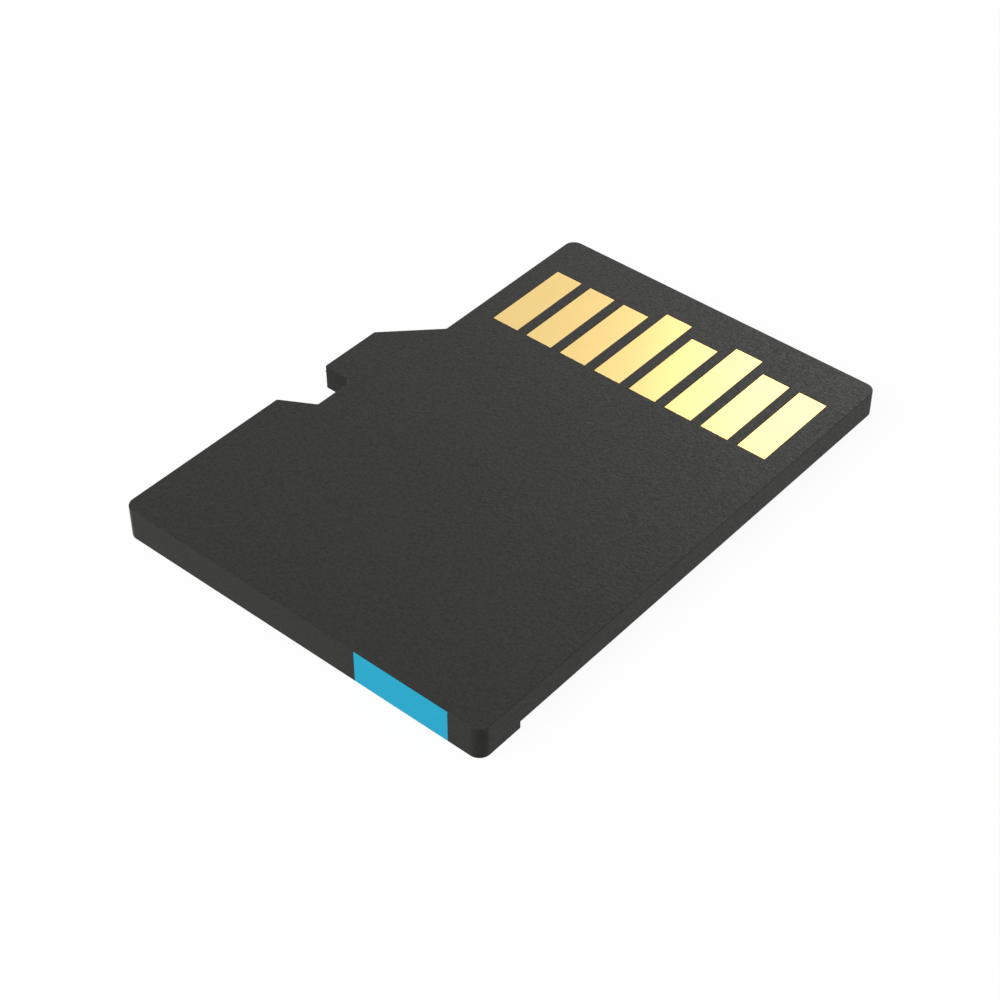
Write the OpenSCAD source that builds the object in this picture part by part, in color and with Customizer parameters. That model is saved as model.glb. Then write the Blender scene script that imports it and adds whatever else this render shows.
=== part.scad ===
// Removable flash memory card with eight contacts on its upper face and a grip lip underneath.
// The origin is under the middle of the card, on the surface that it lies on. +Z points out of
// the contact face, +Y to the contact end and +X to the straight side.

/* [Card outline] */
// Width from the straight side to the notched side
card_w = 11; // [10.9:0.1:13.2]
// Length from the grip end to the contact end
card_l = 15; // [14.4:0.1:18]
// Thickness of the part that enters a socket
thin_t = 0.7; // [0.6:0.05:0.9]
// Radius of the four outer corners in plan
corner_r = 0.3; // [0.2:0.05:0.4]
// How far the contact end is set in on the notched side
nose_inset = 1.3; // [0.8:0.1:1.4]
// Length of the narrow contact end
nose_l = 5.1; // [4.6:0.1:5.6]
// Angle between the card's length and the slope where it widens
slope_angle = 45; // [35:5:60]

/* [Latch notch] */
// Distance from the contact end to the notch's stop wall
notch_stop = 8.2; // [8:0.1:9.8]
// Length of the notch's floor
notch_floor_l = 1.2; // [1:0.1:1.5]
// Depth of the notch from the full-width side
notch_depth = 0.9; // [0.7:0.05:1.1]
// Length of the notch's sloping back wall, along the card
notch_ramp_l = 0.52; // [0.4:0.02:0.8]
// Radius where the stop wall meets the floor
notch_r = 0.2; // [0.1:0.05:0.3]

/* [Grip lip] */
// Height of the lip under the thin part
lip_h = 0.2; // [0.15:0.05:0.4]
// Length of the lip at the card's sides
lip_side_l = 1.3; // [1:0.05:1.6]
// Radius of the lip's inner edge, which is hollowed for a fingernail
lip_curve_r = 30; // [25:1:40]

/* [Contacts] */
// Number of contacts
contact_count = 8; // [6:1:8]
// Distance between the centre lines of two contacts
contact_pitch = 1.1; // [0.95:0.05:1.1]
// Width of a contact
contact_w = 0.8; // [0.6:0.05:0.9]
// Length of a signal contact
contact_l = 2.6; // [2.2:0.1:2.8]
// Length of the two supply contacts, which touch first
long_contact_l = 3; // [2.8:0.1:3.3]
// Distance from the contact end to the back ends of the contacts
contact_back = 3.98; // [3.8:0.02:4.4]
// Distance from the straight side to the last contact's centre line
contact_edge = 0.98; // [0.8:0.02:1.2]
// How far a contact lies below the solder mask's face
contact_recess = 0.005; // [0.005:0.005:0.02]
// Gap between a contact and the edge of its window
contact_gap = 0.01; // [0.01:0.005:0.04]

/* [Circuit board] */
// Thickness of the solder mask on the contact face
mask_t = 0.04; // [0.03:0.005:0.05]
// Thickness of the board's laminate
core_t = 0.12; // [0.1:0.01:0.15]
// Thickness of the inner copper
copper_t = 0.02; // [0.015:0.005:0.02]
// Thickness of the solder mask on the inner face
inner_mask_t = 0.03; // [0.025:0.005:0.04]
// Diameter of a filled via under a contact
via_d = 0.1; // [0.08:0.01:0.12]
// Diameter of the copper land round a via
via_land_d = 0.2; // [0.16:0.02:0.24]
// Distance from a signal contact's front end back to its via
via_setback = 0.3; // [0.2:0.05:0.5]
// Width of a copper trace
trace_w = 0.05; // [0.04:0.01:0.06]

/* [Memory dies] */
// Number of memory dies in the stack
die_count = 4; // [1:1:4]
// Thickness of a memory die
die_t = 0.055; // [0.04:0.005:0.06]
// Thickness of the adhesive film under a die
film_t = 0.012; // [0.01:0.002:0.02]
// How far each die is stepped back from the one under it
die_step = 0.35; // [0.25:0.05:0.5]
// Compound left between the stack and the card's edges
die_margin = 0.45; // [0.35:0.05:0.7]
// Distance from the stack's front edge to its row of bond fingers
finger_reach = 0.45; // [0.35:0.05:0.6]

/* [Controller] */
// Width of the controller die
controller_w = 3.4; // [2.9:0.1:3.8]
// Length of the controller die
controller_l = 2.2; // [1.8:0.1:2.4]
// Thickness of the controller die
controller_t = 0.1; // [0.08:0.01:0.15]
// Distance from the contact end to the controller's front edge
controller_front = 3; // [2.8:0.1:3.2]

/* [Bond wires] */
// Number of wires along each bonded die edge
wire_count = 10; // [8:1:10]
// Distance between two wires
wire_pitch = 0.3; // [0.24:0.02:0.32]
// Diameter of a wire
wire_d = 0.025; // [0.02:0.001:0.028]
// Diameter of the ball that joins a wire to a pad
ball_d = 0.06; // [0.05:0.005:0.08]
// Height of that ball
ball_h = 0.03; // [0.029:0.001:0.036]
// Radius of the bend at the top of a wire's loop
bend_r = 0.04; // [0.03:0.005:0.05]
// Distance from a die's edge to its bond pads
pad_inset = 0.1; // [0.08:0.01:0.14]
// Width of a bond finger
finger_w = 0.12; // [0.1:0.01:0.16]
// Length of a bond finger
finger_l = 0.3; // [0.2:0.05:0.35]
// Clearance round a row of fingers or a land in the inner solder mask
window_gap = 0.05; // [0.03:0.01:0.08]

/* [Chip capacitors and resistors] */
// Length of a chip
chip_l = 0.6; // [0.5:0.05:0.7]
// Width of a chip
chip_w = 0.3; // [0.25:0.05:0.4]
// Height of a chip capacitor
capacitor_h = 0.28; // [0.2:0.02:0.3]
// Height of a chip resistor
resistor_h = 0.2; // [0.15:0.01:0.23]
// Length of a chip's end cap
cap_l = 0.15; // [0.1:0.01:0.2]
// How far the end caps stand out from the chip's body
cap_t = 0.01; // [0.005:0.005:0.02]
// Thickness of the solder under a chip
solder_t = 0.03; // [0.02:0.005:0.04]
// Distance between the centre lines of two chips in a row
chip_pitch = 0.75; // [0.6:0.05:0.9]
// Distance from the controller's side to the nearer row of chips
chip_reach = 0.95; // [0.8:0.05:1.1]

/* [Colour band] */
// Distance from the straight side to the printed band
band_edge = 0.94; // [0.6:0.02:1.4]
// Width of the band
band_w = 2.72; // [1:0.02:4]
// Thickness of the band's ink
band_t = 0.02; // [0.01:0.005:0.03]

/* [Hidden] */
$fn = 64;
CONTACTS = [for (i = [1:contact_count]) str("contact_", i)];
DIES = [for (i = [1:die_count]) str("memory_die_", i)];
FILMS = [for (i = [1:die_count]) str("die_film_", i)];
CAPACITORS = [for (i = [1:4]) str("capacitor_", i)];
RESISTORS = [for (i = [1:2]) str("resistor_", i)];

// Extra depth of a cut, so that it leaves no skin
over = 0.5;
// How far two shapes of one solid run into each other
bite = 0.1;
// The two supply contacts, counted from the notched side
supply_contacts = [4, 6];

side_x = card_w / 2;
notch_side_x = -side_x;
front_y = card_l / 2;
back_y = -front_y;
nose_x = notch_side_x + nose_inset;
slope_l = nose_inset / tan(slope_angle);
notch_x = notch_side_x + notch_depth;
notch_stop_y = front_y - notch_stop;

// Heights of the board's faces above the floor
face_z = lip_h + thin_t;
core_top_z = face_z - mask_t;
core_z = core_top_z - core_t;

// The lip's inner edge is a circle through its two side points
lip_centre_y = back_y + lip_side_l + sqrt(lip_curve_r * lip_curve_r - side_x * side_x);

last_contact_x = side_x - contact_edge;
contact_back_y = front_y - contact_back;
via_y = contact_back_y + contact_l - via_setback;

// The controller sits over the middle of the row of contacts, behind the vias' fan of traces
controller_x = last_contact_x - (contact_count - 1) * contact_pitch / 2;
controller_front_y = front_y - controller_front;
controller_back_y = controller_front_y - controller_l;
front_finger_y = controller_front_y + finger_reach + finger_l / 2;
back_finger_y = controller_back_y - finger_reach - finger_l / 2;
memory_finger_y = back_finger_y - finger_l - finger_reach;

// The dies fill the room behind their row of fingers
stack_front_y = memory_finger_y - finger_l / 2 - finger_reach;
die_l = stack_front_y - (die_count - 1) * die_step - (back_y + die_margin);
die_left_x = notch_x + die_margin;
die_w = side_x - die_margin - die_left_x;
layer_t = film_t + die_t;

// Chips stand in two rows, on both sides of the controller
chip_x = controller_w / 2 + chip_reach;
chip_y = (controller_front_y + controller_back_y) / 2;
chip_base_h = copper_t + solder_t;
capacitor_places = [for (sx = [-1, 1], sy = [0, 1]) [controller_x + sx * chip_x, chip_y + sy * chip_pitch]];
resistor_places = [for (sx = [-1, 1]) [controller_x + sx * chip_x, chip_y - chip_pitch]];
chip_places = concat(capacitor_places, resistor_places);
cap_offset = chip_l / 2 - cap_l / 2;

function contact_x(i) = last_contact_x - (contact_count - i) * contact_pitch;
function contact_length(i) = len(search(i, supply_contacts)) > 0 ? long_contact_l : contact_l;
function row_x(i, n) = controller_x + (i - (n - 1) / 2) * wire_pitch;
function die_front_y(k) = stack_front_y - k * die_step;
function die_base_h(k) = inner_mask_t + k * layer_t;

// Bond pads of one column of the stack, from the finger up: [y, height above the laminate]
function memory_pads() = concat(
    [[memory_finger_y, copper_t]],
    [for (k = [0:die_count - 1]) [die_front_y(k) - pad_inset, die_base_h(k) + layer_t]]
);

// Children are drawn with their height counted inwards from the laminate's inner face
module on_board() translate([0, 0, core_z]) mirror([0, 0, 1]) children();

// What is left of a square corner outside its rounding, plus the waste beyond it
module corner_waste(r) {
    difference() {
        square(2 * r);
        circle(r);
    }
}

module card_outline() {
    difference() {
        union() {
            polygon([
                [side_x, back_y],
                [side_x, front_y],
                [nose_x, front_y],
                [nose_x, front_y - nose_l],
                [notch_side_x, front_y - nose_l - slope_l],
                [notch_side_x, notch_stop_y],
                [notch_x, notch_stop_y],
                [notch_x, notch_stop_y - notch_floor_l],
                [notch_side_x, notch_stop_y - notch_floor_l - notch_ramp_l],
                [notch_side_x, back_y]
            ]);
            translate([notch_x - notch_r, notch_stop_y - notch_r]) corner_waste(notch_r);
        }
        translate([side_x - corner_r, front_y - corner_r]) corner_waste(corner_r);
        translate([nose_x + corner_r, front_y - corner_r]) rotate(90) corner_waste(corner_r);
        translate([notch_side_x + corner_r, back_y + corner_r]) rotate(180) corner_waste(corner_r);
        translate([side_x - corner_r, back_y + corner_r]) rotate(270) corner_waste(corner_r);
    }
}

module lip_outline() {
    difference() {
        card_outline();
        translate([0, lip_centre_y]) circle(lip_curve_r, $fn = 720);
    }
}

// Rectangles centred on a point, for contacts, fingers and lands
module centred(x, y, w, l) translate([x - w / 2, y - l / 2]) square([w, l]);

// A straight copper trace between two points
module trace(a, b) {
    run = b - a;
    translate(a) rotate(atan2(run.y, run.x)) translate([0, -trace_w / 2]) square([norm(run), trace_w]);
}

module finger_row(y, n) for (i = [0:n - 1]) centred(row_x(i, n), y, finger_w, finger_l);

module finger_window(y, n) {
    centred(controller_x, y, (n - 1) * wire_pitch + finger_w + 2 * window_gap, finger_l + 2 * window_gap);
}

module chip_lands(grow) {
    for (p = chip_places, s = [-1, 1])
        centred(p.x, p.y + s * cap_offset, chip_w + 2 * grow, cap_l + 2 * grow);
}

module board_windows() {
    finger_window(front_finger_y, contact_count);
    finger_window(back_finger_y, wire_count);
    finger_window(memory_finger_y, wire_count);
    chip_lands(window_gap);
}

module contact_plan(i, grow = 0) {
    translate([contact_x(i) - contact_w / 2 - grow, contact_back_y - grow])
        square([contact_w + 2 * grow, contact_length(i) + 2 * grow]);
}

// The copper that joins each contact's via to its finger's front end, and the memory to the controller
module copper_plan() {
    finger_end_y = front_finger_y + finger_l / 2 - trace_w / 2;
    for (i = [1:contact_count]) {
        translate([contact_x(i), via_y]) circle(d = via_land_d);
        trace([contact_x(i), via_y], [row_x(i - 1, contact_count), finger_end_y]);
    }
    finger_row(front_finger_y, contact_count);
    finger_row(back_finger_y, wire_count);
    finger_row(memory_finger_y, wire_count);
    for (i = [0:wire_count - 1])
        trace([row_x(i, wire_count), memory_finger_y], [row_x(i, wire_count), back_finger_y]);
    chip_lands(0);
}

module vias() {
    for (i = [1:contact_count]) translate([contact_x(i), via_y, core_z]) cylinder(d = via_d, h = core_t);
}

// The ink's room in the grip end's face, cut through everything there
module band_room() {
    translate([side_x - band_edge - band_w, back_y - over, -over])
        cube([band_w, band_t + over, face_z + 2 * over]);
}

// A wire in the plane at x, out of the ball on the pad p and down into the ball on the lower pad q.
// A pad is [y, height]. The wire bends over from the ball's middle, then runs straight to its end.
module wire_loop(x, p, q) {
    bend_h = p.y + ball_h / 2;
    end = [abs(q.x - p.x) - ball_d / 4 - bend_r, q.y + ball_h / 2 - bend_h];
    fall = asin(bend_r / norm(end)) - atan2(end.y, end.x);
    translate([x, p.x, 0]) rotate(q.x < p.x ? 180 : 0) translate([0, bend_r, bend_h]) rotate([90, 0, 90]) {
        rotate(90 - fall) rotate_extrude(angle = 90 + fall) translate([bend_r, 0]) circle(d = wire_d);
        rotate(-fall) translate([0, bend_r, 0]) rotate([0, 90, 0])
            cylinder(d = wire_d, h = sqrt(end * end - bend_r * bend_r));
    }
}

module wire_ball(x, p) translate([x, p.x, p.y]) cylinder(d = ball_d, h = ball_h);

// Wires that join a list of pads, the lowest first, each wire starting from its higher pad
module wire_run(x, pads) {
    for (p = pads) wire_ball(x, p);
    for (i = [1:len(pads) - 1]) wire_loop(x, pads[i], pads[i - 1]);
}

// A chip's body with its two end caps, standing on its solder
module chip(p, h) {
    translate([p.x - chip_w / 2 + cap_t, p.y - chip_l / 2 + cap_t, chip_base_h + cap_t])
        cube([chip_w - 2 * cap_t, chip_l - 2 * cap_t, h - 2 * cap_t]);
    for (s = [-1, 1])
        translate([p.x - chip_w / 2, p.y + s * cap_offset - cap_l / 2, chip_base_h])
            cube([chip_w, cap_l, h]);
}

module moulded_body() {
    color("#363634") difference() {
        union() {
            linear_extrude(lip_h + bite) lip_outline();
            translate([0, 0, lip_h]) linear_extrude(core_z - inner_mask_t - lip_h) card_outline();
            on_board() linear_extrude(inner_mask_t + bite) board_windows();
        }
        on_board() linear_extrude(copper_t) copper_plan();
        for (k = [1:die_count]) {
            memory_die(k);
            die_film(k);
        }
        controller_die();
        controller_film();
        memory_wires();
        controller_wires();
        for (i = [1:len(capacitor_places)]) capacitor(i);
        for (i = [1:len(resistor_places)]) resistor(i);
        solder_joints();
        band_room();
    }
}

module laminate() {
    color("#2f2f2c") difference() {
        translate([0, 0, core_z]) linear_extrude(core_t) card_outline();
        vias();
        band_room();
    }
}

module contact_mask() {
    color("#3c3c3a") difference() {
        translate([0, 0, core_top_z]) linear_extrude(mask_t) difference() {
            card_outline();
            for (i = [1:contact_count]) contact_plan(i, contact_gap);
        }
        band_room();
    }
}

module inner_mask() {
    color("#3c3c3a") difference() {
        on_board() linear_extrude(inner_mask_t) difference() {
            card_outline();
            board_windows();
        }
        on_board() linear_extrude(copper_t) copper_plan();
        band_room();
    }
}

module inner_copper() color("#c98a4a") on_board() linear_extrude(copper_t) copper_plan();

module contact_vias() color("#c98a4a") vias();

module contact(i) {
    color("#f0cf84") translate([0, 0, core_top_z]) linear_extrude(mask_t - contact_recess) contact_plan(i);
}

// A layer of the stack, from a height above the laminate
module stack_layer(k, h, t) translate([die_left_x, die_front_y(k) - die_l, h]) cube([die_w, die_l, t]);

module memory_die(k) color("#6f757d") on_board() stack_layer(k - 1, die_base_h(k - 1) + film_t, die_t);

module die_film(k) color("#d8cfa8") on_board() stack_layer(k - 1, die_base_h(k - 1), film_t);

module controller_layer(h, t) {
    translate([controller_x - controller_w / 2, controller_back_y, h]) cube([controller_w, controller_l, t]);
}

module controller_die() color("#5f656e") on_board() controller_layer(inner_mask_t + film_t, controller_t);

module controller_film() color("#d8cfa8") on_board() controller_layer(inner_mask_t, film_t);

module memory_wires() {
    color("#e8b64c") on_board() for (i = [0:wire_count - 1]) wire_run(row_x(i, wire_count), memory_pads());
}

module controller_wires() {
    top = inner_mask_t + film_t + controller_t;
    front_pads = [[front_finger_y, copper_t], [controller_front_y - pad_inset, top]];
    back_pads = [[back_finger_y, copper_t], [controller_back_y + pad_inset, top]];
    color("#e8b64c") on_board() {
        for (i = [0:contact_count - 1]) wire_run(row_x(i, contact_count), front_pads);
        for (i = [0:wire_count - 1]) wire_run(row_x(i, wire_count), back_pads);
    }
}

module capacitor(i) color("#b48a63") on_board() chip(capacitor_places[i - 1], capacitor_h);

module resistor(i) color("#3a3f47") on_board() chip(resistor_places[i - 1], resistor_h);

module solder_joints() {
    color("#b9bcc0") on_board() translate([0, 0, copper_t]) linear_extrude(solder_t) chip_lands(0);
}

module colour_band() {
    color("#2ea6cc") translate([side_x - band_edge - band_w, back_y, 0]) cube([band_w, band_t, face_z]);
}

moulded_body();
laminate();
contact_mask();
inner_mask();
inner_copper();
contact_vias();
for (i = [1:contact_count]) contact(i);
for (k = [1:die_count]) memory_die(k);
for (k = [1:die_count]) die_film(k);
controller_die();
controller_film();
memory_wires();
controller_wires();
for (i = [1:len(CAPACITORS)]) capacitor(i);
for (i = [1:len(RESISTORS)]) resistor(i);
solder_joints();
colour_band();
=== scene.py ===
"""A removable flash memory card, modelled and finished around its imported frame.

The file is laid out as an add-on: sizes, colours and the stage are properties, and each piece or
group of like pieces is one operator. Pieces are modelled a thousand times larger, so that one unit
is a millimetre, and are brought to size when they are finished.
"""

import math

import bpy
from bpy.props import FloatProperty, FloatVectorProperty, PointerProperty
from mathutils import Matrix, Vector


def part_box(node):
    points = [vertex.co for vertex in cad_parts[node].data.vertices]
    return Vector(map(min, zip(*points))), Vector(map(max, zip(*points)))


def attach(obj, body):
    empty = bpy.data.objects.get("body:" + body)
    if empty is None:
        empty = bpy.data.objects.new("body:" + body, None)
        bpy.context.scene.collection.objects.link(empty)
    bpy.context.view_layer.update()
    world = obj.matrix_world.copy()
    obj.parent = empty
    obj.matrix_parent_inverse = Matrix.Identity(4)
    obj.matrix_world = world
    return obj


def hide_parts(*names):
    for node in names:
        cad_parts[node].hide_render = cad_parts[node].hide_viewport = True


bl_info = {
    "name": "Flash memory card",
    "version": (1, 0, 0),
    "blender": (4, 5, 0),
    "location": "View3D > Sidebar > Card",
    "description": "Models and finishes a removable flash memory card around its packed frame",
    "category": "Add Mesh",
}

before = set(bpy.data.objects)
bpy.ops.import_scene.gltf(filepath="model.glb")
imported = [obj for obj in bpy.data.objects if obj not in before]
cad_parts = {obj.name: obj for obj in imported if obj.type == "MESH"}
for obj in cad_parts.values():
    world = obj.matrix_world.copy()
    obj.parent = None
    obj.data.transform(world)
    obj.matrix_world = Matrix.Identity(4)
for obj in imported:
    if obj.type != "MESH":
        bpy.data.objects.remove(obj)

# One unit is a millimetre while a piece is modelled
ENLARGED = 1000
# Two places closer than this are the same, in modelling units
NEAR = 1e-4
# How far a tool reaches past the piece that it cuts, in modelling units
PAST = 1
# Faces that turn against each other by less than this are joined into one
FLAT = math.radians(0.1)
# Edges that turn by less than this are shaded smooth
SMOOTH = math.radians(40)
# Steps in the rounding of a rim, and of an outer, a hollow and a sharp corner of the outline
RIM_STEPS = 3
OUTER_STEPS, HOLLOW_STEPS, SHARP_STEPS = 14, 12, 2
# The cylinder that hollows the grip lip: its sides, and its height in modelling units
LIP_TOOL_SIDES, LIP_TOOL_HEIGHT = 720, 4
# A face of the contact mask is grained where its normal rises by more than this
UPWARD = 0.1

# Sockets of the mix node that mixes colours: share, first and second colour, and result
MIX_SHARE, MIX_FIRST, MIX_SECOND, MIX_RESULT = 0, 6, 7, 2
# A noise texture's values hardly leave this range
NOISE_LOW, NOISE_HIGH = 0.3, 0.7
# How far the grain's cells are bent, as a share of its pitch
GRAIN_BEND = 0.8

BODY = "root"
OUTLINE = "outline"
CONTACTS = sorted(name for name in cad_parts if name.removeprefix("contact_").isdigit())


def node_box(name):
    """The lowest and highest corners of a CAD node, in modelling units."""
    low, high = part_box(name)
    return low * ENLARGED, high * ENLARGED


def length(default, name, description, highest=0.02):
    """A length in metres that the panel shows in millimetres or smaller."""
    return FloatProperty(
        name=name, description=description, default=default, min=0, max=highest,
        unit="LENGTH", precision=6, step=0.01,
    )


def colour(default, name, description):
    """A linear colour."""
    return FloatVectorProperty(
        name=name, description=description, default=default, min=0, max=1, size=3, subtype="COLOR",
    )


class OutlineSizes(bpy.types.PropertyGroup):
    """Sizes of the outline that every layer of the card shares."""

    corner_radius: length(0.0003, "Corner radius", "Radius of the four outer corners")
    nose_inset: length(0.0013, "Nose inset", "How far the contact end is set in on one side")
    nose_length: length(0.0051, "Nose length", "Length of the narrow contact end")
    slope_angle: FloatProperty(
        name="Slope angle",
        description="Angle between the card's length and the slope where it widens",
        default=math.radians(45), min=math.radians(30), max=math.radians(70), subtype="ANGLE",
    )
    notch_stop: length(0.0082, "Notch stop", "Distance from the contact end to the stop wall")
    notch_floor: length(0.0012, "Notch floor", "Length of the notch's floor")
    notch_depth: length(0.0009, "Notch depth", "Depth of the notch from the full-width side")
    notch_ramp: length(0.00052, "Notch ramp", "Length of the notch's back wall along the card")
    notch_radius: length(0.0002, "Notch radius", "Radius where the stop wall meets the floor")
    arris: length(0.00003, "Arris", "Rounding of the outline's other corners")


class BodySizes(bpy.types.PropertyGroup):
    """Sizes of the moulded body and of the rims of all layers."""

    lip_height: length(0.0002, "Lip height", "Height of the grip lip under the thin part")
    lip_side: length(0.0013, "Lip length", "Length of the grip lip at the card's sides")
    lip_radius: length(0.03, "Lip curve", "Radius of the lip's hollowed inner edge", 0.1)
    rim: length(0.000015, "Rim", "Rounding of the card's upper and lower rims")
    pad_rim: length(0.000004, "Contact rim", "Rounding of a contact's upper edges")
    window_gap: length(0.00001, "Window gap", "Gap between a contact and its window in the mask")


class FinishColours(bpy.types.PropertyGroup):
    """Colours of the card's finishes."""

    moulding: colour((0.0148, 0.0148, 0.0124), "Moulding", "Moulded epoxy of the body")
    mask: colour((0.0112, 0.0112, 0.0092), "Solder mask", "Grained mask on the contact face")
    gold: colour((0.835, 0.605, 0.236), "Gold plate", "Plating of the contacts")
    ink: colour((0.010, 0.335, 0.51), "Ink", "Printed band on the grip end")
    copper: colour((0.64, 0.31, 0.16), "Copper", "Inner copper and vias")
    silicon: colour((0.16, 0.17, 0.19), "Silicon", "Ground backs of the dies")
    film: colour((0.60, 0.53, 0.34), "Film", "Adhesive film under the dies")
    ceramic: colour((0.42, 0.27, 0.15), "Ceramic", "Body of a chip capacitor")
    resistor: colour((0.03, 0.035, 0.045), "Resistor", "Body of a chip resistor")
    solder: colour((0.62, 0.63, 0.65), "Solder", "Tin solder and tinned end caps")


class StageSettings(bpy.types.PropertyGroup):
    """The camera, the lamps and the floor."""

    azimuth: FloatProperty(
        name="Azimuth", description="Direction of the camera round the card",
        default=math.radians(40.434), subtype="ANGLE",
    )
    elevation: FloatProperty(
        name="Elevation", description="Height of the camera above the horizon",
        default=math.radians(42.171), subtype="ANGLE",
    )
    distance: length(0.0533014, "Distance", "Distance from the camera to its target", 1)
    target: FloatVectorProperty(
        name="Target", description="Point that the camera looks at",
        default=(0.0007777, -0.0013360, 0.0005), size=3, subtype="XYZ_LENGTH", precision=6,
    )
    lens: FloatProperty(
        name="Lens", description="Focal length of the camera", default=81.273, min=20, max=300,
        unit="CAMERA",
    )
    floor_size: length(0.5, "Floor size", "Side of the square floor", 2)


# --- Modelling ---------------------------------------------------------------------------------


def only(piece):
    """Leaves one object selected and active, in object mode."""
    if bpy.context.mode != "OBJECT":
        bpy.ops.object.mode_set(mode="OBJECT")
    bpy.ops.object.select_all(action="DESELECT")
    piece.select_set(True)
    bpy.context.view_layer.objects.active = piece


def nothing():
    """Leaves nothing selected, in object mode."""
    if bpy.context.mode != "OBJECT":
        bpy.ops.object.mode_set(mode="OBJECT")
    bpy.ops.object.select_all(action="DESELECT")


def select_where(piece, kind, wanted):
    """Enters edit mode with the wanted ones of a piece's faces, edges or vertices selected."""
    only(piece)
    bpy.ops.object.mode_set(mode="EDIT")
    bpy.ops.mesh.select_mode(type=kind)
    bpy.ops.mesh.select_all(action="DESELECT")
    bpy.ops.object.mode_set(mode="OBJECT")
    mesh = piece.data
    parts = {"FACE": mesh.polygons, "EDGE": mesh.edges, "VERT": mesh.vertices}[kind]
    for part in parts:
        part.select = wanted(part)
    bpy.ops.object.mode_set(mode="EDIT")


def select_edges(piece, wanted):
    """Enters edit mode with the edges selected whose two ends are wanted."""
    def has_wanted_ends(edge):
        return wanted(*(piece.data.vertices[end].co for end in edge.vertices))

    select_where(piece, "EDGE", has_wanted_ends)


def bevel(offset, steps, affect="EDGES"):
    """Rounds what is selected in edit mode."""
    bpy.ops.mesh.bevel(
        offset=offset, offset_type="OFFSET", segments=steps, profile=0.5, affect=affect,
    )


def new_box(name, low, high):
    """A box between two corners, in modelling units."""
    nothing()
    size = high - low
    bpy.ops.mesh.primitive_cube_add(size=1, location=(low + high) / 2, scale=size)
    bpy.ops.object.transform_apply(location=True, rotation=False, scale=True)
    made = bpy.context.object
    made.name = made.data.name = name
    return made


def carve(piece, tool, operation="DIFFERENCE"):
    """Cuts a tool out of a piece, or joins it on, and removes the tool."""
    only(piece)
    modifier = piece.modifiers.new("carve", "BOOLEAN")
    modifier.operation = operation
    modifier.solver = "EXACT"
    modifier.object = tool
    bpy.ops.object.modifier_apply(modifier=modifier.name)
    bpy.data.objects.remove(tool)


def join(pieces):
    """Joins objects into the first of them."""
    nothing()
    for piece in pieces:
        piece.select_set(True)
    bpy.context.view_layer.objects.active = pieces[0]
    if len(pieces) > 1:
        bpy.ops.object.join()
    return pieces[0]


def layer(name, low, high):
    """A plate of the card's outline between two heights."""
    only(bpy.data.objects[OUTLINE])
    bpy.ops.object.duplicate()
    plate = bpy.context.object
    plate.name = plate.data.name = name
    bpy.ops.object.mode_set(mode="EDIT")
    bpy.ops.mesh.select_all(action="SELECT")
    bpy.ops.transform.translate(value=(0, 0, low))
    bpy.ops.mesh.extrude_region_move(TRANSFORM_OT_translate={"value": (0, 0, high - low)})
    bpy.ops.mesh.select_all(action="SELECT")
    bpy.ops.mesh.normals_make_consistent(inside=False)
    bpy.ops.object.mode_set(mode="OBJECT")
    return plate


def round_rim(piece, height, width):
    """Rounds the edges of a piece that lie at one height."""
    select_edges(piece, lambda a, b: abs(a.z - height) < NEAR and abs(b.z - height) < NEAR)
    bevel(width, RIM_STEPS)
    bpy.ops.object.mode_set(mode="OBJECT")


def cut_band_room(piece):
    """Cuts the ink's room out of the grip end's face."""
    low, high = node_box("colour_band")
    room = new_box("band_room", low - Vector((0, PAST, PAST)), high + Vector((0, 0, PAST)))
    carve(piece, room)


def merge_flat_faces(piece):
    """Joins faces that lie in one plane."""
    only(piece)
    bpy.ops.object.mode_set(mode="EDIT")
    bpy.ops.mesh.select_all(action="SELECT")
    bpy.ops.mesh.dissolve_limited(angle_limit=FLAT)
    bpy.ops.object.mode_set(mode="OBJECT")


def finish_piece(piece, replaced, materials):
    """Shades a piece, brings it to size and puts it in the frame in place of its CAD nodes."""
    only(piece)
    bpy.ops.object.shade_smooth_by_angle(angle=SMOOTH)
    modifier = piece.modifiers.new("flat faces", "WEIGHTED_NORMAL")
    modifier.keep_sharp = True
    bpy.ops.object.modifier_apply(modifier=modifier.name)
    piece.scale = (1 / ENLARGED,) * 3
    bpy.ops.object.transform_apply(location=True, rotation=True, scale=True)
    for material in materials:
        piece.data.materials.append(material)
    check_closed(piece)
    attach(piece, BODY)
    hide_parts(*replaced)


def check_closed(piece):
    """Stops the script if a piece isn't a closed shell."""
    uses = {}
    for face in piece.data.polygons:
        for key in face.edge_keys:
            uses[key] = uses.get(key, 0) + 1
    loose = sum(1 for count in uses.values() if count != 2)
    if loose or not piece.data.polygons:
        raise RuntimeError(f"{piece.name} isn't closed: {loose} of its edges don't join two faces")


# --- Materials ---------------------------------------------------------------------------------


class Shading:
    """The nodes of one material or group, placed and linked in the order they are made."""

    def __init__(self, tree):
        self.tree = tree
        self.column = 0

    def add(self, kind, settings=None, **inputs):
        """A node with its settings, and with each named input linked or set."""
        node = self.tree.nodes.new(kind)
        node.location = (self.column * 200, 0)
        self.column += 1
        for key, value in (settings or {}).items():
            setattr(node, key, value)
        for key, value in inputs.items():
            self.put(node, key.replace("_", " "), value)
        return node

    def put(self, node, socket, value):
        """Links a socket to another node's output, or sets its value."""
        target = node.inputs[socket]
        if isinstance(value, bpy.types.NodeSocket):
            self.tree.links.new(value, target)
        elif isinstance(value, tuple) and len(value) == 3 and target.type == "RGBA":
            target.default_value = (*value, 1)
        else:
            target.default_value = value

    def math(self, operation, *values):
        """The result of a math node."""
        node = self.add("ShaderNodeMath", {"operation": operation})
        for place, value in enumerate(values):
            self.put(node, place, value)
        return node.outputs[0]


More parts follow.
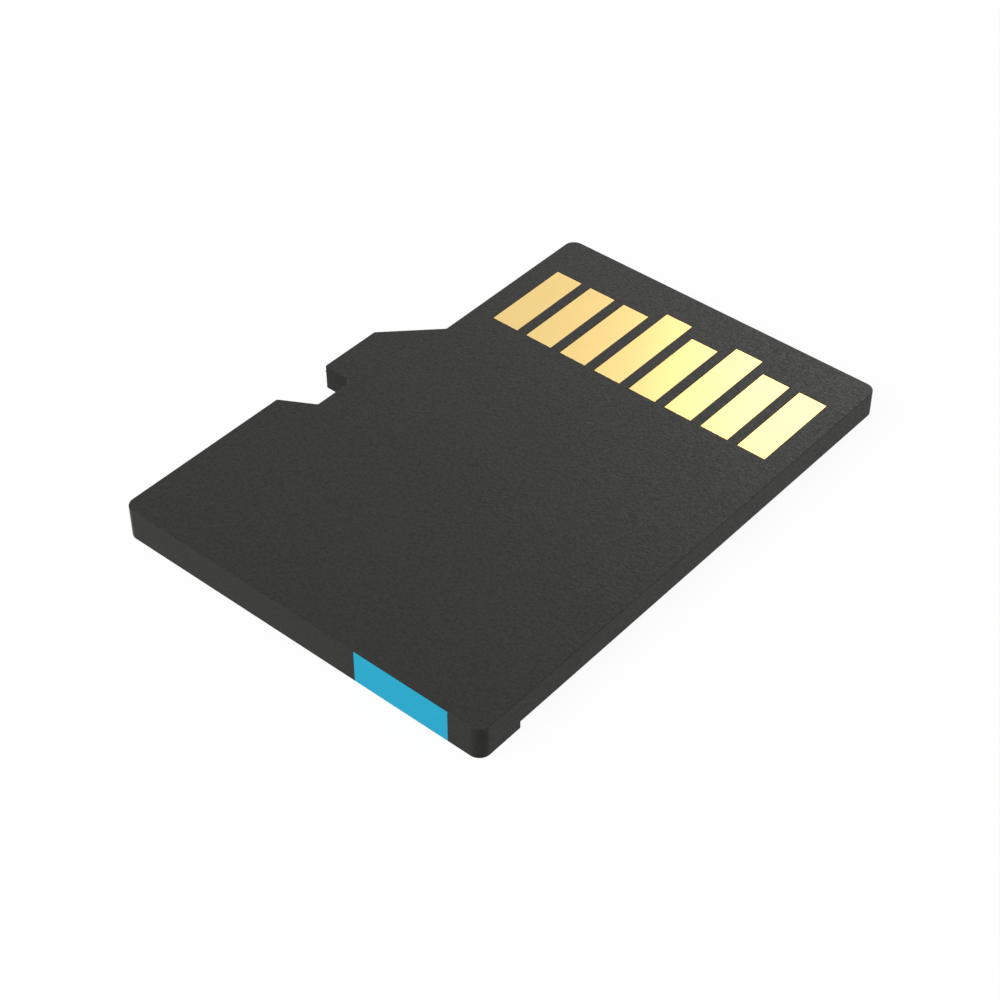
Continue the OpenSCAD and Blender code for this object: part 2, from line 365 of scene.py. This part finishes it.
def new_group(name, inputs, outputs):
    """An empty shader group with its sockets, each a name, a kind and a value."""
    group = bpy.data.node_groups.new(name, "ShaderNodeTree")
    for label, kind, value in inputs:
        socket = group.interface.new_socket(label, in_out="INPUT", socket_type=kind)
        if value is not None:
            socket.default_value = value
    for label, kind in outputs:
        group.interface.new_socket(label, in_out="OUTPUT", socket_type=kind)
    shading = Shading(group)
    return group, shading, shading.add("NodeGroupInput"), shading.add("NodeGroupOutput")


def grain_group():
    """Leathery grain of a given pitch in metres: its height, and a shade from 0 to 1."""
    name = "Card grain"
    if name in bpy.data.node_groups:
        return bpy.data.node_groups[name]
    group, shading, given, out = new_group(
        name,
        [("Pitch", "NodeSocketFloat", 0.0001), ("Sharpness", "NodeSocketFloat", 0.5)],
        [("Height", "NodeSocketFloat"), ("Shade", "NodeSocketFloat")],
    )
    place = shading.add("ShaderNodeTexCoord").outputs["Object"]
    scale = shading.math("DIVIDE", 1.0, given.outputs["Pitch"])
    bend = shading.add("ShaderNodeTexNoise", None, Vector=place, Scale=scale, Detail=2.0)
    shift = shading.add(
        "ShaderNodeVectorMath", {"operation": "SCALE"}, Vector=bend.outputs["Color"],
    )
    shading.put(shift, "Scale", shading.math("MULTIPLY", given.outputs["Pitch"], GRAIN_BEND))
    warped = shading.add("ShaderNodeVectorMath", {"operation": "ADD"})
    shading.put(warped, 0, place)
    shading.put(warped, 1, shift.outputs[0])
    cells = shading.add(
        "ShaderNodeTexVoronoi", {"feature": "SMOOTH_F1"}, Vector=warped.outputs[0], Scale=scale,
        Smoothness=0.6,
    )
    fine = shading.add(
        "ShaderNodeTexNoise", None, Vector=place, Scale=scale, Detail=3.0, Roughness=0.6,
    )
    cell_part = shading.math("MULTIPLY", cells.outputs["Distance"], given.outputs["Sharpness"])
    height = shading.math("SUBTRACT", fine.outputs["Fac"], cell_part)
    shade = shading.add("ShaderNodeMapRange", None, Value=fine.outputs["Fac"])
    shading.put(shade, "From Min", NOISE_LOW)
    shading.put(shade, "From Max", NOISE_HIGH)
    shading.put(out, "Height", height)
    shading.put(out, "Shade", shade.outputs[0])
    return group


def clouds_group():
    """Soft uneven patches of a given size in metres, from a low to a high value."""
    name = "Card clouds"
    if name in bpy.data.node_groups:
        return bpy.data.node_groups[name]
    group, shading, given, out = new_group(
        name,
        [
            ("Size", "NodeSocketFloat", 0.002), ("Low", "NodeSocketFloat", 0.4),
            ("High", "NodeSocketFloat", 0.5),
        ],
        [("Value", "NodeSocketFloat")],
    )
    place = shading.add("ShaderNodeTexCoord").outputs["Object"]
    noise = shading.add("ShaderNodeTexNoise", None, Vector=place, Detail=3.0, Roughness=0.55)
    shading.put(noise, "Scale", shading.math("DIVIDE", 1.0, given.outputs["Size"]))
    ramp = shading.add(
        "ShaderNodeMapRange", {"interpolation_type": "SMOOTHSTEP"}, Value=noise.outputs["Fac"],
    )
    shading.put(ramp, "From Min", NOISE_LOW)
    shading.put(ramp, "From Max", NOISE_HIGH)
    shading.put(ramp, "To Min", given.outputs["Low"])
    shading.put(ramp, "To Max", given.outputs["High"])
    shading.put(out, "Value", ramp.outputs[0])
    return group


def empty_tree(owner):
    """The shading of a material or world, with nothing in it."""
    owner.use_nodes = True
    owner.node_tree.nodes.clear()
    return Shading(owner.node_tree)


def new_material(name):
    """A material, its shading and its surface shader."""
    material = bpy.data.materials.new(name)
    shading = empty_tree(material)
    out = shading.add("ShaderNodeOutputMaterial")
    surface = shading.add("ShaderNodeBsdfPrincipled")
    shading.put(out, "Surface", surface.outputs[0])
    return material, shading, surface


def varied_colour(shading, base, value, spread):
    """A colour that gets darker and lighter by a share of itself as a value goes from 0 to 1."""
    low = tuple(channel * (1 - spread) for channel in base)
    high = tuple(min(1, channel * (1 + spread)) for channel in base)
    mix = shading.add("ShaderNodeMix", {"data_type": "RGBA"})
    shading.put(mix, MIX_SHARE, value)
    shading.put(mix, MIX_FIRST, low)
    shading.put(mix, MIX_SECOND, high)
    return mix.outputs[MIX_RESULT]


def bumped(shading, texture, depth):
    """The normal that a grain of a given depth in metres gives."""
    bump = shading.add(
        "ShaderNodeBump", None, Height=texture.outputs["Height"], Strength=1.0, Distance=depth,
    )
    return bump.outputs[0]


def finish_material(
    name, base, roughness, spread=0.05, patch=0.002, metallic=0.0, specular=0.5,
    grain=0.0001, depth=0.0, sharpness=0.5, grain_roughness=0.0,
):
    """A finish with soft patches in its roughness, and a grain in height, colour and roughness."""
    material, shading, surface = new_material(name)
    clouds = shading.add("ShaderNodeGroup", {"node_tree": clouds_group()}, Size=patch)
    shading.put(clouds, "Low", roughness[0])
    shading.put(clouds, "High", roughness[1])
    texture = shading.add(
        "ShaderNodeGroup", {"node_tree": grain_group()}, Pitch=grain, Sharpness=sharpness,
    )
    tone = varied_colour(shading, base, texture.outputs["Shade"], spread)
    matt = shading.math(
        "MULTIPLY_ADD", texture.outputs["Shade"], -grain_roughness, clouds.outputs["Value"],
    )
    shading.put(surface, "Base Color", tone)
    shading.put(surface, "Roughness", matt)
    shading.put(surface, "Normal", bumped(shading, texture, depth))
    surface.inputs["Metallic"].default_value = metallic
    surface.inputs["Specular IOR Level"].default_value = specular
    return material


def chip_material(name, base, tin):
    """A chip part: its ceramic body between two tinned end caps, by the place along the chip."""
    material, shading, surface = new_material(name)
    low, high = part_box("capacitor_1")
    middle = (low.y + high.y) / 2
    # The ceramic shows along the middle half of the chip
    bare = (high.y - low.y) / 4
    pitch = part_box("capacitor_2")[0].y - low.y
    place = shading.add("ShaderNodeTexCoord").outputs["Object"]
    along = shading.add("ShaderNodeSeparateXYZ", None, Vector=place).outputs["Y"]
    from_middle = shading.math("SUBTRACT", along, middle)
    wrapped = shading.math("WRAP", from_middle, pitch / 2, -pitch / 2)
    cap = shading.math("GREATER_THAN", shading.math("ABSOLUTE", wrapped), bare)
    texture = shading.add("ShaderNodeGroup", {"node_tree": grain_group()}, Pitch=0.00004)
    mix = shading.add("ShaderNodeMix", {"data_type": "RGBA"})
    shade = texture.outputs["Shade"]
    shading.put(mix, MIX_SHARE, cap)
    shading.put(mix, MIX_FIRST, varied_colour(shading, base, shade, spread=0.15))
    shading.put(mix, MIX_SECOND, varied_colour(shading, tin, shade, spread=0.08))
    shading.put(surface, "Base Color", mix.outputs[MIX_RESULT])
    shading.put(surface, "Metallic", cap)
    shading.put(surface, "Normal", bumped(shading, texture, depth=0.000001))
    surface.inputs["Roughness"].default_value = 0.4
    return material


# --- Pieces ------------------------------------------------------------------------------------


def outline_lines():
    """The lines that cut the card's blank, and the test for what falls away."""
    sizes = bpy.context.scene.card_outline
    low, high = node_box("laminate")
    nose_x = low.x + sizes.nose_inset * ENLARGED
    nose_y = high.y - sizes.nose_length * ENLARGED
    notch_x = low.x + sizes.notch_depth * ENLARGED
    stop_y = high.y - sizes.notch_stop * ENLARGED
    floor_y = stop_y - sizes.notch_floor * ENLARGED
    steepness = 1 / math.tan(sizes.slope_angle)
    ramp = sizes.notch_ramp / sizes.notch_depth
    lines = (
        ((nose_x, nose_y, 0), (1, 0, 0)),
        ((nose_x, nose_y, 0), (-steepness, 1, 0)),
        ((notch_x, stop_y, 0), (1, 0, 0)),
        ((notch_x, stop_y, 0), (0, 1, 0)),
        ((notch_x, floor_y, 0), (-ramp, 1, 0)),
    )

    def is_waste(x, y):
        beside_nose = x < nose_x and y > nose_y + (x - nose_x) * steepness
        in_notch = x < notch_x and floor_y + (x - notch_x) * ramp < y < stop_y
        return beside_nose or in_notch

    corners = {
        "rounded": ((low.x, low.y), (high.x, low.y), (high.x, high.y), (nose_x, high.y)),
        "hollow": ((notch_x, stop_y),),
        "sharp": (
            (nose_x, nose_y), (low.x, nose_y - (nose_x - low.x) * steepness),
            (low.x, stop_y), (notch_x, floor_y), (low.x, floor_y - (notch_x - low.x) * ramp),
        ),
    }
    return low, high, lines, is_waste, corners


class CARD_OT_outline(bpy.types.Operator):
    """Draws the outline that every layer of the card is drawn up from"""

    bl_idname = "card.outline"
    bl_label = "Draw the outline"

    def execute(self, context):
        sizes = context.scene.card_outline
        low, high, lines, is_waste, corners = outline_lines()
        nothing()
        middle = (low + high) / 2
        bpy.ops.mesh.primitive_plane_add(size=1, location=(middle.x, middle.y, 0))
        face = context.object
        face.name = face.data.name = OUTLINE
        face.scale = (high.x - low.x, high.y - low.y, 1)
        bpy.ops.object.transform_apply(location=True, rotation=False, scale=True)
        bpy.ops.object.mode_set(mode="EDIT")
        for place, normal in lines:
            bpy.ops.mesh.select_all(action="SELECT")
            bpy.ops.mesh.bisect(plane_co=place, plane_no=normal, threshold=NEAR)
        select_where(face, "FACE", lambda part: is_waste(part.center.x, part.center.y))
        bpy.ops.mesh.delete(type="FACE")
        bpy.ops.mesh.select_all(action="SELECT")
        bpy.ops.mesh.dissolve_limited(angle_limit=FLAT)
        for kind, radius, steps in (
            ("rounded", sizes.corner_radius, OUTER_STEPS),
            ("hollow", sizes.notch_radius, HOLLOW_STEPS),
            ("sharp", sizes.arris, SHARP_STEPS),
        ):
            for x, y in corners[kind]:
                select_where(
                    face, "VERT", lambda end: math.hypot(end.co.x - x, end.co.y - y) < NEAR,
                )
                bevel(radius * ENLARGED, steps, "VERTICES")
        bpy.ops.object.mode_set(mode="OBJECT")
        if len(face.data.polygons) != 1:
            raise RuntimeError("the outline isn't one face")
        return {"FINISHED"}


class CARD_OT_body(bpy.types.Operator):
    """Models the moulded body with its grip lip"""

    bl_idname = "card.body"
    bl_label = "Model the moulded body"

    def execute(self, context):
        sizes = context.scene.card_body
        low, high = node_box("moulded_body")
        step = sizes.lip_height * ENLARGED
        rim = sizes.rim * ENLARGED
        body = layer("body", step, node_box("inner_mask")[0].z)
        round_rim(body, step, rim)
        # The lip reaches a little into the body, past the rounding of its lower rim
        lip = layer("lip", low.z, step + rim * 3)
        radius = sizes.lip_radius * ENLARGED
        half_width = (high.x - low.x) / 2
        centre_y = low.y + sizes.lip_side * ENLARGED + math.sqrt(radius ** 2 - half_width ** 2)
        nothing()
        bpy.ops.mesh.primitive_cylinder_add(
            vertices=LIP_TOOL_SIDES, radius=radius, depth=LIP_TOOL_HEIGHT,
            location=((low.x + high.x) / 2, centre_y, 0),
        )
        carve(lip, context.object)
        round_rim(lip, low.z, rim)
        carve(body, lip, "UNION")
        merge_flat_faces(body)
        cut_band_room(body)
        finish_piece(body, ["moulded_body"], [wall_material()])
        return {"FINISHED"}


class CARD_OT_board(bpy.types.Operator):
    """Models the circuit board's laminate and its inner solder mask"""

    bl_idname = "card.board"
    bl_label = "Model the circuit board"

    def execute(self, context):
        low, high = node_box("laminate")
        board = layer("board", low.z, high.z)
        cut_band_room(board)
        carve(board, enlarged_copy("contact_vias"))
        finish_piece(board, ["laminate"], [wall_material()])
        mask = enlarged_copy("inner_mask")
        mask.name = mask.data.name = "inner_solder_mask"
        finish_piece(mask, ["inner_mask"], [wall_material()])
        return {"FINISHED"}


def enlarged_copy(node):
    """A copy of a CAD node at modelling size, with its corners merged."""
    nothing()
    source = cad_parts[node]
    made = source.copy()
    made.data = source.data.copy()
    # The copy is a new piece, so it carries none of the frame's notes
    for key in list(made.keys()):
        del made[key]
    made.parent = None
    made.data.materials.clear()
    made.name = made.data.name = node + "_copy"
    bpy.context.scene.collection.objects.link(made)
    made.hide_viewport = made.hide_render = False
    only(made)
    made.scale = (ENLARGED,) * 3
    bpy.ops.object.transform_apply(location=True, rotation=True, scale=True)
    bpy.ops.object.mode_set(mode="EDIT")
    bpy.ops.mesh.select_all(action="SELECT")
    bpy.ops.mesh.remove_doubles(threshold=NEAR)
    bpy.ops.object.mode_set(mode="OBJECT")
    bpy.ops.mesh.customdata_custom_splitnormals_clear()
    return made


class CARD_OT_contact_face(bpy.types.Operator):
    """Models the grained solder mask on the contact face, with a window round each contact"""

    bl_idname = "card.contact_face"
    bl_label = "Model the contact face"

    def execute(self, context):
        sizes = context.scene.card_body
        low, high = node_box("contact_mask")
        face = layer("contact_face", low.z, high.z)
        round_rim(face, high.z, sizes.rim * ENLARGED)
        gap = sizes.window_gap * ENLARGED
        margin = Vector((gap, gap, PAST))
        windows = []
        for contact in CONTACTS:
            start, end = node_box(contact)
            windows.append(new_box("window", start - margin, end + margin))
        carve(face, join(windows))
        cut_band_room(face)
        finishes = [mask_material(), wall_material()]
        finish_piece(face, ["contact_mask"], finishes)
        for side in face.data.polygons:
            side.material_index = 0 if side.normal.z > UPWARD else 1
        return {"FINISHED"}


class CARD_OT_contacts(bpy.types.Operator):
    """Models the gold-plated contacts"""

    bl_idname = "card.contacts"
    bl_label = "Model the contacts"

    def execute(self, context):
        rim = context.scene.card_body.pad_rim * ENLARGED
        first_low, first_high = node_box(CONTACTS[0])
        pattern = new_box("pattern", first_low, first_high)
        round_rim(pattern, first_high.z, rim)
        gold = gold_material()
        for contact in CONTACTS:
            low, high = node_box(contact)
            only(pattern)
            bpy.ops.object.duplicate()
            pad = context.object
            pad.name = pad.data.name = contact.replace("contact", "pad")
            bpy.ops.object.mode_set(mode="EDIT")
            bpy.ops.mesh.select_all(action="SELECT")
            bpy.ops.transform.translate(value=low - first_low)
            stretch = (high.y - low.y) - (first_high.y - first_low.y)
            select_edges(pad, lambda a, b: min(a.y, b.y) > (low.y + high.y) / 2)
            bpy.ops.transform.translate(value=(0, stretch, 0))
            bpy.ops.object.mode_set(mode="OBJECT")
            finish_piece(pad, [contact], [gold])
        bpy.data.objects.remove(pattern)
        return {"FINISHED"}


class CARD_OT_band(bpy.types.Operator):
    """Models the printed band on the grip end's face"""

    bl_idname = "card.band"
    bl_label = "Model the printed band"

    def execute(self, context):
        low, high = node_box("colour_band")
        band = new_box("band", low, high)

        def is_outer_rim(a, b):
            outer = max(abs(a.y - low.y), abs(b.y - low.y)) < NEAR
            return outer and abs(a.z - b.z) < NEAR

        select_edges(band, is_outer_rim)
        bevel(context.scene.card_body.rim * ENLARGED, RIM_STEPS)
        bpy.ops.object.mode_set(mode="OBJECT")
        finish_piece(band, ["colour_band"], [ink_material()])
        return {"FINISHED"}


def wall_material():
    """Matt moulded epoxy, which the sawn edge of the board matches."""
    name = "Moulded epoxy"
    if name in bpy.data.materials:
        return bpy.data.materials[name]
    base = tuple(bpy.context.scene.card_colours.moulding)
    return finish_material(
        name, base, (0.47, 0.49), spread=0.28, patch=0.0015, specular=0.10,
        grain=0.00006, depth=0.0000016, grain_roughness=0.14,
    )


def mask_material():
    """Solder mask with the fine leathery grain of the contact face."""
    base = tuple(bpy.context.scene.card_colours.mask)
    return finish_material(
        "Grained solder mask", base, (0.55, 0.57), spread=0.60, specular=0.24,
        grain=0.000066, depth=0.0000055, grain_roughness=0.26,
    )


def gold_material():
    """Smooth gold plating."""
    base = tuple(bpy.context.scene.card_colours.gold)
    return finish_material(
        "Gold plate", base, (0.215, 0.225), spread=0.01, patch=0.001, metallic=1.0, grain=0.00003,
    )


def ink_material():
    """Even printing ink."""
    base = tuple(bpy.context.scene.card_colours.ink)
    return finish_material(
        "Printed ink", base, (0.5, 0.54), spread=0.03, patch=0.0008, specular=0.10,
        grain=0.00005, depth=0.0000002,
    )


class CARD_OT_inside(bpy.types.Operator):
    """Gives the sealed parts their finishes"""

    bl_idname = "card.inside"
    bl_label = "Finish the sealed parts"

    def execute(self, context):
        colours = context.scene.card_colours
        tin = tuple(colours.solder)
        copper = finish_material(
            "Copper", tuple(colours.copper), (0.3, 0.45), spread=0.06, patch=0.0008, metallic=1.0,
        )
        silicon = finish_material(
            "Ground silicon", tuple(colours.silicon), (0.25, 0.4), patch=0.003, metallic=0.6,
            grain=0.00003, depth=0.0000005,
        )
        film = finish_material(
            "Adhesive film", tuple(colours.film), (0.5, 0.65), spread=0.06, patch=0.001,
        )
        gold_wire = finish_material(
            "Gold wire", tuple(colours.gold), (0.2, 0.3), spread=0.04, patch=0.0005, metallic=1.0,
        )
        solder = finish_material(
            "Tin solder", tin, (0.35, 0.5), spread=0.08, patch=0.0002, metallic=1.0,
            grain=0.00004, depth=0.000002,
        )
        capacitor = chip_material("Chip capacitor", tuple(colours.ceramic), tin)
        resistor = chip_material("Chip resistor", tuple(colours.resistor), tin)
        finishes = (
            ("inner_copper", copper), ("contact_vias", copper), ("memory_die", silicon),
            ("controller_die", silicon), ("die_film", film), ("controller_film", film),
            ("memory_wires", gold_wire), ("controller_wires", gold_wire), ("solder_joints", solder),
            ("capacitor", capacitor), ("resistor", resistor),
        )
        for name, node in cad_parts.items():
            for start, material in finishes:
                if name.startswith(start):
                    node.data.materials.clear()
                    node.data.materials.append(material)
        return {"FINISHED"}


# --- Stage -------------------------------------------------------------------------------------

# The floor lies this much lower than the card, in metres, so that the two never share a plane
FLOOR_DROP = 0.000002
# Where the floor is seen directly, this share of it glows white and the rest is paint with shadows
FLOOR_GLOW = 0.95
FLOOR_PAINT = (0.9, 0.9, 0.9)
WHITE = (1.0, 1.0, 1.0)
# Strength of the surroundings as they light the scene. They are seen at strength 1
SURROUNDINGS = 0.42
# Nearest and farthest distance that the camera sees, in metres
CLIP = (0.001, 10)
# Name, direction from the card (degrees round from the camera's zero, degrees up), distance in
# metres, width and height in metres, watts
LAMPS = (
    ("far_lamp", -165, 26, 0.122, 0.058, 0.083, 0.0328),
    ("near_lamp", -16, 42, 0.124, 0.110, 0.062, 0.1230),
)


def direction(around, up):
    """The unit vector at an angle round from -Y, towards +X, and an angle above the horizon."""
    across = math.cos(up)
    return Vector((math.sin(around) * across, -math.cos(around) * across, math.sin(up)))


def backdrop_share(shading):
    """1 for what the camera sees directly, in a reflection or through glass, and else 0."""
    path = shading.add("ShaderNodeLightPath")
    seen = shading.math("MAXIMUM", path.outputs["Is Camera Ray"], path.outputs["Is Glossy Ray"])
    return shading.math("MAXIMUM", seen, path.outputs["Is Transmission Ray"])


class CARD_OT_stage(bpy.types.Operator):
    """Sets up the floor, the lamps, the surrounding light and the camera"""

    bl_idname = "card.stage"
    bl_label = "Set the stage"

    def execute(self, context):
        scene = context.scene
        stage = scene.card_stage
        self.lay_floor(stage)
        for lamp in LAMPS:
            self.hang_lamp(*lamp)
        self.light_surroundings(scene)
        self.place_camera(scene, stage)
        scene.view_settings.view_transform = "Standard"
        return {"FINISHED"}

    def lay_floor(self, stage):
        """A white floor that keeps the card's shadow and is clear from below."""
        nothing()
        bpy.ops.mesh.primitive_plane_add(size=stage.floor_size, location=(0, 0, -FLOOR_DROP))
        floor = bpy.context.object
        floor.name = floor.data.name = "floor"
        material = bpy.data.materials.new("Pale floor")
        shading = empty_tree(material)
        paint = shading.add("ShaderNodeBsdfDiffuse", None, Color=FLOOR_PAINT)
        white = shading.add("ShaderNodeEmission", None, Color=WHITE, Strength=1.0)
        share = shading.math("MULTIPLY", backdrop_share(shading), FLOOR_GLOW)
        mix = shading.add("ShaderNodeMixShader")
        shading.put(mix, 0, share)
        shading.put(mix, 1, paint.outputs[0])
        shading.put(mix, 2, white.outputs[0])
        under = shading.add("ShaderNodeMixShader")
        shading.put(under, 0, shading.add("ShaderNodeNewGeometry").outputs["Backfacing"])
        shading.put(under, 1, mix.outputs[0])
        shading.put(under, 2, shading.add("ShaderNodeBsdfTransparent").outputs[0])
        shading.add("ShaderNodeOutputMaterial", None, Surface=under.outputs[0])
        floor.data.materials.append(material)

    def hang_lamp(self, name, round_deg, up_deg, distance, width, height, watts):
        """A soft rectangular lamp that faces the card."""
        away = direction(math.radians(round_deg), math.radians(up_deg))
        light = bpy.data.lights.new(name, "AREA")
        light.shape = "RECTANGLE"
        light.size, light.size_y, light.energy = width, height, watts
        lamp = bpy.data.objects.new(name, light)
        lamp.location = away * distance
        lamp.rotation_mode = "QUATERNION"
        lamp.rotation_quaternion = away.to_track_quat("Z", "Y")
        bpy.context.scene.collection.objects.link(lamp)

    def light_surroundings(self, scene):
        """Even white light from all round, white where it is seen."""
        world = bpy.data.worlds.new("Surroundings")
        shading = empty_tree(world)
        strength = shading.math("MAXIMUM", backdrop_share(shading), SURROUNDINGS)
        sky = shading.add("ShaderNodeBackground", None, Color=WHITE, Strength=strength)
        shading.add("ShaderNodeOutputWorld", None, Surface=sky.outputs[0])
        scene.world = world

    def place_camera(self, scene, stage):
        """The camera, at the photo's own place."""
        back = direction(stage.azimuth, stage.elevation)
        camera = bpy.data.objects.new("camera", bpy.data.cameras.new("camera"))
        camera.location = Vector(stage.target) + back * stage.distance
        camera.rotation_mode = "QUATERNION"
        camera.rotation_quaternion = (-back).to_track_quat("-Z", "Y")
        camera.data.lens = stage.lens
        camera.data.clip_start, camera.data.clip_end = CLIP
        scene.collection.objects.link(camera)
        scene.camera = camera


class CARD_PT_panel(bpy.types.Panel):
    """The card's steps, sizes and colours in the sidebar"""

    bl_label = "Flash memory card"
    bl_idname = "CARD_PT_panel"
    bl_space_type = "VIEW_3D"
    bl_region_type = "UI"
    bl_category = "Card"

    def draw(self, context):
        for operator in OPERATORS:
            self.layout.operator(operator.bl_idname)
        for label, name in (
            ("Outline", "card_outline"), ("Body and contacts", "card_body"),
            ("Colours", "card_colours"), ("Stage", "card_stage"),
        ):
            box = self.layout.box()
            box.label(text=label)
            group = getattr(context.scene, name)
            for size in group.bl_rna.properties:
                if size.identifier not in ("rna_type", "name"):
                    box.prop(group, size.identifier)


GROUPS = {
    "card_outline": OutlineSizes,
    "card_body": BodySizes,
    "card_colours": FinishColours,
    "card_stage": StageSettings,
}
OPERATORS = (
    CARD_OT_outline, CARD_OT_body, CARD_OT_board, CARD_OT_contact_face, CARD_OT_contacts,
    CARD_OT_band, CARD_OT_inside, CARD_OT_stage,
)


def register():
    for kind in (*GROUPS.values(), *OPERATORS, CARD_PT_panel):
        bpy.utils.register_class(kind)
    for name, group in GROUPS.items():
        setattr(bpy.types.Scene, name, PointerProperty(type=group))


def unregister():
    for name in GROUPS:
        delattr(bpy.types.Scene, name)
    for kind in reversed((*GROUPS.values(), *OPERATORS, CARD_PT_panel)):
        bpy.utils.unregister_class(kind)


def main():
    """Builds the card and its stage step by step."""
    register()
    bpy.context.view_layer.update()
    bpy.ops.card.outline()
    bpy.ops.card.body()
    bpy.ops.card.board()
    bpy.ops.card.contact_face()
    bpy.ops.card.contacts()
    bpy.ops.card.band()
    bpy.ops.card.inside()
    bpy.ops.card.stage()
    bpy.data.objects.remove(bpy.data.objects[OUTLINE])


if __name__ == "__main__":
    main()
